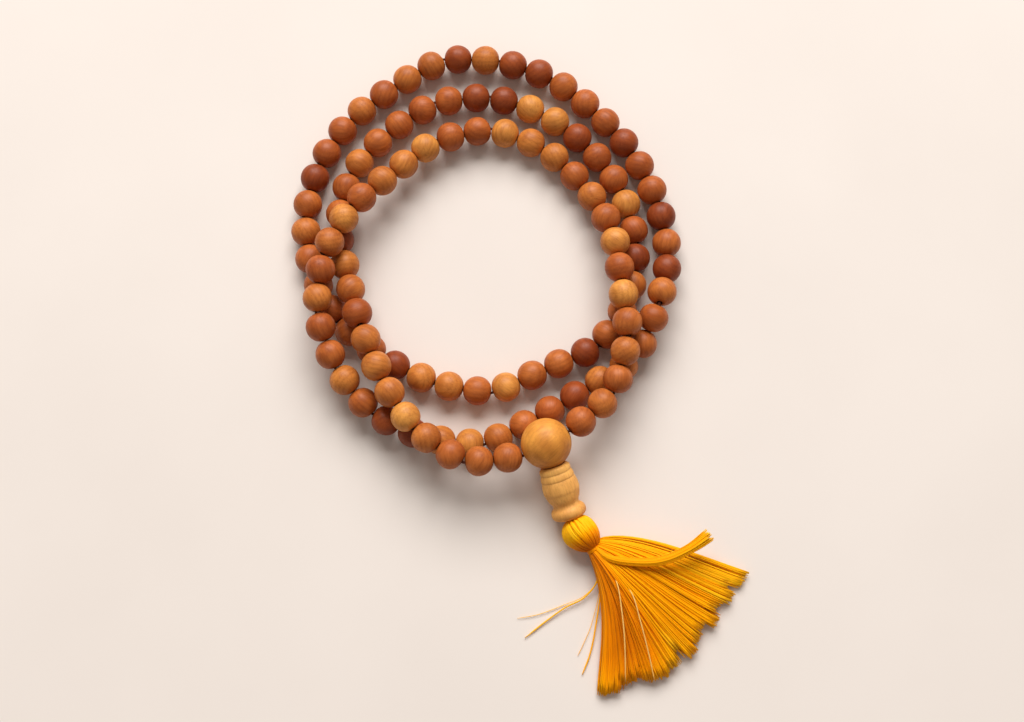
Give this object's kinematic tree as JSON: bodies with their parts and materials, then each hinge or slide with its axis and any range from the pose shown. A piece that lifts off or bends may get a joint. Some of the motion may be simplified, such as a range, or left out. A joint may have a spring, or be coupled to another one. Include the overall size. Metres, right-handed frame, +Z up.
{
  "type": "mala prayer beads",
  "caption": "Mala of round turned wooden beads on one long cord, lying wound three times round, with a large guru bead, a turned tower bead and an orange thread tassel.",
  "frame": {"origin": "middle of the mala's box in plan, on the plane the mala lies on", "axes": "+Z up, away from the plane; the tassel lies towards -Y and +X of the loop; +Y is the mala's longest direction, loop to tassel"},
  "size_m": [0.1164, 0.1744, 0.0172],
  "materials": {
    "cord": "dark red-brown twisted thread",
    "bead_wood": "satin reddish-brown turned wood",
    "guru_wood": "satin tan turned wood",
    "tower_wood": "light turned wood",
    "tassel_thread": "bright orange-yellow loose thread"
  },
  "bodies": {
    "cord": {"cord_loop": "cord"},
    "guru": {"guru_bead": "guru_wood", "cord_ends": "cord"},
    "tower": {"tower_bead": "tower_wood"},
    "tassel_head": {"tassel_head": "tassel_thread"},
    "tassel_skirt": {"tassel_skirt": "tassel_thread"},
    "bead_pair_01": {"bead_pair_01": "bead_wood"},
    "bead_pair_02": {"bead_pair_02": "bead_wood"},
    "bead_pair_03": {"bead_pair_03": "bead_wood"},
    "bead_pair_04": {"bead_pair_04": "bead_wood"},
    "bead_pair_05": {"bead_pair_05": "bead_wood"},
    "bead_pair_06": {"bead_pair_06": "bead_wood"},
    "bead_pair_07": {"bead_pair_07": "bead_wood"},
    "bead_pair_08": {"bead_pair_08": "bead_wood"},
    "bead_pair_09": {"bead_pair_09": "bead_wood"},
    "bead_pair_10": {"bead_pair_10": "bead_wood"},
    "bead_pair_11": {"bead_pair_11": "bead_wood"},
    "bead_pair_12": {"bead_pair_12": "bead_wood"},
    "bead_pair_13": {"bead_pair_13": "bead_wood"},
    "bead_pair_14": {"bead_pair_14": "bead_wood"},
    "bead_pair_15": {"bead_pair_15": "bead_wood"},
    "bead_pair_16": {"bead_pair_16": "bead_wood"},
    "bead_pair_17": {"bead_pair_17": "bead_wood"},
    "bead_pair_18": {"bead_pair_18": "bead_wood"},
    "bead_pair_19": {"bead_pair_19": "bead_wood"},
    "bead_pair_20": {"bead_pair_20": "bead_wood"},
    "bead_pair_21": {"bead_pair_21": "bead_wood"},
    "bead_pair_22": {"bead_pair_22": "bead_wood"},
    "bead_pair_23": {"bead_pair_23": "bead_wood"},
    "bead_pair_24": {"bead_pair_24": "bead_wood"},
    "bead_pair_25": {"bead_pair_25": "bead_wood"},
    "bead_pair_26": {"bead_pair_26": "bead_wood"},
    "bead_pair_27": {"bead_pair_27": "bead_wood"},
    "bead_pair_28": {"bead_pair_28": "bead_wood"},
    "bead_pair_29": {"bead_pair_29": "bead_wood"},
    "bead_pair_30": {"bead_pair_30": "bead_wood"},
    "bead_pair_31": {"bead_pair_31": "bead_wood"},
    "bead_pair_32": {"bead_pair_32": "bead_wood"},
    "bead_pair_33": {"bead_pair_33": "bead_wood"},
    "bead_pair_34": {"bead_pair_34": "bead_wood"},
    "bead_pair_35": {"bead_pair_35": "bead_wood"},
    "bead_pair_36": {"bead_pair_36": "bead_wood"},
    "bead_pair_37": {"bead_pair_37": "bead_wood"},
    "bead_pair_38": {"bead_pair_38": "bead_wood"},
    "bead_pair_39": {"bead_pair_39": "bead_wood"},
    "bead_pair_40": {"bead_pair_40": "bead_wood"},
    "bead_pair_41": {"bead_pair_41": "bead_wood"},
    "bead_pair_42": {"bead_pair_42": "bead_wood"},
    "bead_pair_43": {"bead_pair_43": "bead_wood"},
    "bead_pair_44": {"bead_pair_44": "bead_wood"},
    "bead_pair_45": {"bead_pair_45": "bead_wood"},
    "bead_pair_46": {"bead_pair_46": "bead_wood"},
    "bead_pair_47": {"bead_pair_47": "bead_wood"},
    "bead_pair_48": {"bead_pair_48": "bead_wood"},
    "bead_pair_49": {"bead_pair_49": "bead_wood"},
    "bead_pair_50": {"bead_pair_50": "bead_wood"},
    "bead_pair_51": {"bead_pair_51": "bead_wood"},
    "bead_pair_52": {"bead_pair_52": "bead_wood"},
    "bead_pair_53": {"bead_pair_53": "bead_wood"},
    "bead_pair_54": {"bead_pair_54": "bead_wood"}
  },
  "joints": [
    {"name": "pendant_lift", "type": "hinge", "parent": "cord", "child": "guru", "pos_m": [0.00922, -0.02327, 0.0108], "axis": [-0.8775, -0.4471, -0.1736], "range_deg": [0, 100]},
    {"name": "tower_spin", "type": "hinge", "parent": "guru", "child": "tower", "pos_m": [0.01337, -0.03512, 0.0064], "axis": [0.3119, -0.8908, -0.3305], "continuous": true},
    {"name": "tassel_sweep", "type": "hinge", "parent": "guru", "child": "tassel_head", "pos_m": [0.01892, -0.04587, 0.0044], "axis": [0, 0, 1], "range_deg": [-40, 40]},
    {"name": "tassel_lift", "type": "hinge", "parent": "tassel_head", "child": "tassel_skirt", "pos_m": [0.02255, -0.05126, 0.0042], "axis": [-0.7431, -0.6691, 0], "range_deg": [0, 60]},
    {"name": "turn_bead_pair_01", "type": "hinge", "parent": "cord", "child": "bead_pair_01", "pos_m": [0.02089, -0.01528, 0.0111], "axis": [0.752, 0.6491, -0.1145], "continuous": true},
    {"name": "turn_bead_pair_02", "type": "hinge", "parent": "cord", "child": "bead_pair_02", "pos_m": [0.02865, -0.00302, 0.01133], "axis": [0.2618, 0.9541, 0.1456], "continuous": true},
    {"name": "turn_bead_pair_03", "type": "hinge", "parent": "cord", "child": "bead_pair_03", "pos_m": [0.02984, 0.01186, 0.01179], "axis": [-0.1066, 0.9906, -0.0856], "continuous": true},
    {"name": "turn_bead_pair_04", "type": "hinge", "parent": "cord", "child": "bead_pair_04", "pos_m": [0.02811, 0.02685, 0.00949], "axis": [-0.119, 0.9693, -0.2152], "continuous": true},
    {"name": "turn_bead_pair_05", "type": "hinge", "parent": "cord", "child": "bead_pair_05", "pos_m": [0.02364, 0.04081, 0.00609], "axis": [-0.4656, 0.8548, -0.2291], "continuous": true},
    {"name": "turn_bead_pair_06", "type": "hinge", "parent": "cord", "child": "bead_pair_06", "pos_m": [0.01466, 0.05274, 0.00413], "axis": [-0.7083, 0.7054, -0.0275], "continuous": true},
    {"name": "turn_bead_pair_07", "type": "hinge", "parent": "cord", "child": "bead_pair_07", "pos_m": [0.00209, 0.06087, 0.00398], "axis": [-0.934, 0.3572, 0.0081], "continuous": true},
    {"name": "turn_bead_pair_08", "type": "hinge", "parent": "cord", "child": "bead_pair_08", "pos_m": [-0.01246, 0.06178, 0.00457], "axis": [-0.9686, -0.2387, 0.069], "continuous": true},
    {"name": "turn_bead_pair_09", "type": "hinge", "parent": "cord", "child": "bead_pair_09", "pos_m": [-0.02558, 0.05499, 0.00623], "axis": [-0.7466, -0.6485, 0.1484], "continuous": true},
    {"name": "turn_bead_pair_10", "type": "hinge", "parent": "cord", "child": "bead_pair_10", "pos_m": [-0.03653, 0.04477, 0.00924], "axis": [-0.6842, -0.6872, 0.2441], "continuous": true},
    {"name": "turn_bead_pair_11", "type": "hinge", "parent": "cord", "child": "bead_pair_11", "pos_m": [-0.04529, 0.03276, 0.01174], "axis": [-0.4615, -0.8832, 0.083], "continuous": true},
    {"name": "turn_bead_pair_12", "type": "hinge", "parent": "cord", "child": "bead_pair_12", "pos_m": [-0.04958, 0.01842, 0.01165], "axis": [-0.098, -0.9907, -0.0948], "continuous": true},
    {"name": "turn_bead_pair_13", "type": "hinge", "parent": "cord", "child": "bead_pair_13", "pos_m": [-0.04781, 0.00379, 0.00937], "axis": [0.3289, -0.9223, -0.2029], "continuous": true},
    {"name": "turn_bead_pair_14", "type": "hinge", "parent": "cord", "child": "bead_pair_14", "pos_m": [-0.04048, -0.00906, 0.00646], "axis": [0.6289, -0.7569, -0.1778], "continuous": true},
    {"name": "turn_bead_pair_15", "type": "hinge", "parent": "cord", "child": "bead_pair_15", "pos_m": [-0.02872, -0.01799, 0.00452], "axis": [0.9087, -0.4108, -0.075], "continuous": true},
    {"name": "turn_bead_pair_16", "type": "hinge", "parent": "cord", "child": "bead_pair_16", "pos_m": [-0.01416, -0.02191, 0.00395], "axis": [0.9948, -0.1015, 0], "continuous": true},
    {"name": "turn_bead_pair_17", "type": "hinge", "parent": "cord", "child": "bead_pair_17", "pos_m": [0.00026, -0.01921, 0.00395], "axis": [0.8905, 0.455, 0.0004], "continuous": true},
    {"name": "turn_bead_pair_18", "type": "hinge", "parent": "cord", "child": "bead_pair_18", "pos_m": [0.01363, -0.01177, 0.00395], "axis": [0.856, 0.517, -0.0009], "continuous": true},
    {"name": "turn_bead_pair_19", "type": "hinge", "parent": "cord", "child": "bead_pair_19", "pos_m": [0.02666, -0.00376, 0.00415], "axis": [0.8473, 0.5304, 0.0274], "continuous": true},
    {"name": "turn_bead_pair_20", "type": "hinge", "parent": "cord", "child": "bead_pair_20", "pos_m": [0.03604, 0.00697, 0.00673], "axis": [0.3793, 0.872, 0.3095], "continuous": true},
    {"name": "turn_bead_pair_21", "type": "hinge", "parent": "cord", "child": "bead_pair_21", "pos_m": [0.04065, 0.02064, 0.00654], "axis": [0.2233, 0.9158, -0.3339], "continuous": true},
    {"name": "turn_bead_pair_22", "type": "hinge", "parent": "cord", "child": "bead_pair_22", "pos_m": [0.04104, 0.03519, 0.00397], "axis": [-0.1727, 0.985, -0.0025], "continuous": true},
    {"name": "turn_bead_pair_23", "type": "hinge", "parent": "cord", "child": "bead_pair_23", "pos_m": [0.03649, 0.04965, 0.00395], "axis": [-0.4219, 0.9067, 0], "continuous": true},
    {"name": "turn_bead_pair_24", "type": "hinge", "parent": "cord", "child": "bead_pair_24", "pos_m": [0.02829, 0.06241, 0.00395], "axis": [-0.6494, 0.7604, 0], "continuous": true},
    {"name": "turn_bead_pair_25", "type": "hinge", "parent": "cord", "child": "bead_pair_25", "pos_m": [0.01744, 0.07312, 0.00395], "axis": [-0.7688, 0.6395, 0], "continuous": true},
    {"name": "turn_bead_pair_26", "type": "hinge", "parent": "cord", "child": "bead_pair_26", "pos_m": [0.00434, 0.08054, 0.00395], "axis": [-0.9437, 0.3308, 0], "continuous": true},
    {"name": "turn_bead_pair_27", "type": "hinge", "parent": "cord", "child": "bead_pair_27", "pos_m": [-0.01052, 0.08333, 0.00395], "axis": [-0.9994, 0.0334, 0], "continuous": true},
    {"name": "turn_bead_pair_28", "type": "hinge", "parent": "cord", "child": "bead_pair_28", "pos_m": [-0.02473, 0.07965, 0.00395], "axis": [-0.8577, -0.5142, 0], "continuous": true},
    {"name": "turn_bead_pair_29", "type": "hinge", "parent": "cord", "child": "bead_pair_29", "pos_m": [-0.03727, 0.07094, 0.00395], "axis": [-0.7817, -0.6237, 0], "continuous": true},
    {"name": "turn_bead_pair_30", "type": "hinge", "parent": "cord", "child": "bead_pair_30", "pos_m": [-0.04739, 0.05974, 0.00395], "axis": [-0.5412, -0.8409, 0], "continuous": true},
    {"name": "turn_bead_pair_31", "type": "hinge", "parent": "cord", "child": "bead_pair_31", "pos_m": [-0.0533, 0.04586, 0.00395], "axis": [-0.2313, -0.9729, 0], "continuous": true},
    {"name": "turn_bead_pair_32", "type": "hinge", "parent": "cord", "child": "bead_pair_32", "pos_m": [-0.05387, 0.03087, 0.00395], "axis": [0.1545, -0.988, 0], "continuous": true},
    {"name": "turn_bead_pair_33", "type": "hinge", "parent": "cord", "child": "bead_pair_33", "pos_m": [-0.04892, 0.01664, 0.00395], "axis": [0.4908, -0.8713, -0.0001], "continuous": true},
    {"name": "turn_bead_pair_34", "type": "hinge", "parent": "cord", "child": "bead_pair_34", "pos_m": [-0.03934, 0.00502, 0.00395], "axis": [0.7616, -0.6481, 0.0001], "continuous": true},
    {"name": "turn_bead_pair_35", "type": "hinge", "parent": "cord", "child": "bead_pair_35", "pos_m": [-0.02664, -0.00328, 0.00395], "axis": [0.8993, -0.4374, -0.0001], "continuous": true},
    {"name": "turn_bead_pair_36", "type": "hinge", "parent": "cord", "child": "bead_pair_36", "pos_m": [-0.01221, -0.00786, 0.00395], "axis": [0.987, -0.1609, 0], "continuous": true},
    {"name": "turn_bead_pair_37", "type": "hinge", "parent": "cord", "child": "bead_pair_37", "pos_m": [0.00231, -0.00593, 0.00395], "axis": [0.9105, 0.4136, 0], "continuous": true},
    {"name": "turn_bead_pair_38", "type": "hinge", "parent": "cord", "child": "bead_pair_38", "pos_m": [0.0163, 0.00026, 0.00395], "axis": [0.9185, 0.3954, 0], "continuous": true},
    {"name": "turn_bead_pair_39", "type": "hinge", "parent": "cord", "child": "bead_pair_39", "pos_m": [0.02751, 0.00969, 0.00395], "axis": [0.5468, 0.8373, 0], "continuous": true},
    {"name": "turn_bead_pair_40", "type": "hinge", "parent": "cord", "child": "bead_pair_40", "pos_m": [0.03278, 0.02367, 0.00395], "axis": [0.1424, 0.9898, 0], "continuous": true},
    {"name": "turn_bead_pair_41", "type": "hinge", "parent": "cord", "child": "bead_pair_41", "pos_m": [0.03198, 0.03866, 0.00395], "axis": [-0.2469, 0.969, 0], "continuous": true},
    {"name": "turn_bead_pair_42", "type": "hinge", "parent": "cord", "child": "bead_pair_42", "pos_m": [0.02566, 0.05231, 0.00395], "axis": [-0.5789, 0.8154, 0], "continuous": true},
    {"name": "turn_bead_pair_43", "type": "hinge", "parent": "cord", "child": "bead_pair_43", "pos_m": [0.01518, 0.06322, 0.00395], "axis": [-0.7911, 0.6116, 0], "continuous": true},
    {"name": "turn_bead_pair_44", "type": "hinge", "parent": "cord", "child": "bead_pair_44", "pos_m": [0.00188, 0.07034, 0.00395], "axis": [-0.9477, 0.3192, 0], "continuous": true},
    {"name": "turn_bead_pair_45", "type": "hinge", "parent": "cord", "child": "bead_pair_45", "pos_m": [-0.01297, 0.07192, 0.00395], "axis": [-0.9936, -0.1131, 0], "continuous": true},
    {"name": "turn_bead_pair_46", "type": "hinge", "parent": "cord", "child": "bead_pair_46", "pos_m": [-0.0269, 0.06675, 0.00395], "axis": [-0.8267, -0.5626, 0], "continuous": true},
    {"name": "turn_bead_pair_47", "type": "hinge", "parent": "cord", "child": "bead_pair_47", "pos_m": [-0.03814, 0.05659, 0.00399], "axis": [-0.6434, -0.7655, 0.0058], "continuous": true},
    {"name": "turn_bead_pair_48", "type": "hinge", "parent": "cord", "child": "bead_pair_48", "pos_m": [-0.04464, 0.04325, 0.00398], "axis": [-0.2066, -0.9784, -0.0078], "continuous": true},
    {"name": "turn_bead_pair_49", "type": "hinge", "parent": "cord", "child": "bead_pair_49", "pos_m": [-0.04449, 0.0285, 0.00556], "axis": [0.2269, -0.9499, 0.2149], "continuous": true},
    {"name": "turn_bead_pair_50", "type": "hinge", "parent": "cord", "child": "bead_pair_50", "pos_m": [-0.04066, 0.01426, 0.00957], "axis": [0.274, -0.9108, 0.3088], "continuous": true},
    {"name": "turn_bead_pair_51", "type": "hinge", "parent": "cord", "child": "bead_pair_51", "pos_m": [-0.03573, 0.00019, 0.01173], "axis": [0.3698, -0.9287, -0.0259], "continuous": true},
    {"name": "turn_bead_pair_52", "type": "hinge", "parent": "cord", "child": "bead_pair_52", "pos_m": [-0.02871, -0.01331, 0.01152], "axis": [0.5483, -0.8363, -0.002], "continuous": true},
    {"name": "turn_bead_pair_53", "type": "hinge", "parent": "cord", "child": "bead_pair_53", "pos_m": [-0.01817, -0.02397, 0.01122], "axis": [0.8294, -0.5575, -0.037], "continuous": true},
    {"name": "turn_bead_pair_54", "type": "hinge", "parent": "cord", "child": "bead_pair_54", "pos_m": [-0.00427, -0.02726, 0.01028], "axis": [0.9881, 0.1275, -0.0856], "continuous": true}
  ]
}
